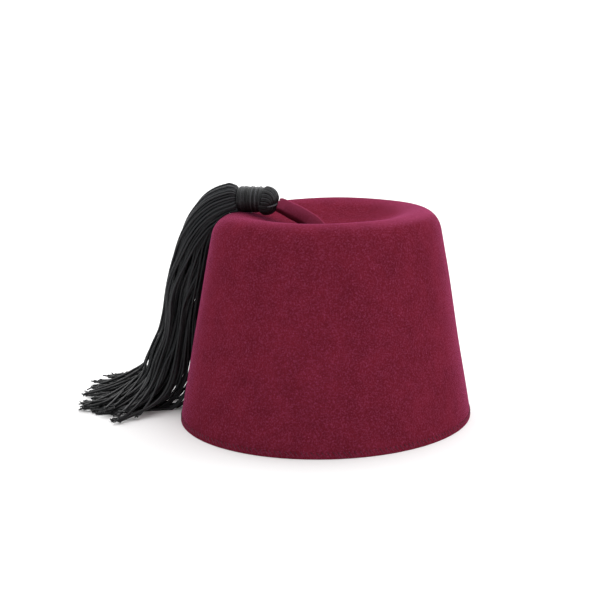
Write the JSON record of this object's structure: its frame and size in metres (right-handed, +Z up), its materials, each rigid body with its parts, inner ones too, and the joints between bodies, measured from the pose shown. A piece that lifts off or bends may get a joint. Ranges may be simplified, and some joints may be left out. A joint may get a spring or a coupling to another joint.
{
  "type": "fez hat",
  "caption": "Fez of blocked wool felt: a tapered hollow crown with a dished top, a felt stem at its middle and a corded tassel that falls over one side.",
  "frame": {"origin": "middle of the head opening, in the plane of the hem that the hat stands on", "axes": "+Z up through the crown, -Y the way the wearer faces, -X the side that the tassel falls over"},
  "size_m": [0.2521, 0.2084, 0.1377],
  "materials": {
    "felt": "brushed wool felt, matt with a short nap",
    "cord": "twisted cord, black with a dull sheen",
    "thread": "wound thread, black with a soft sheen"
  },
  "bodies": {
    "root": {"crown": "felt", "stem": "felt", "tassel": "cord", "tassel_binding": "thread"}
  },
  "joints": []
}
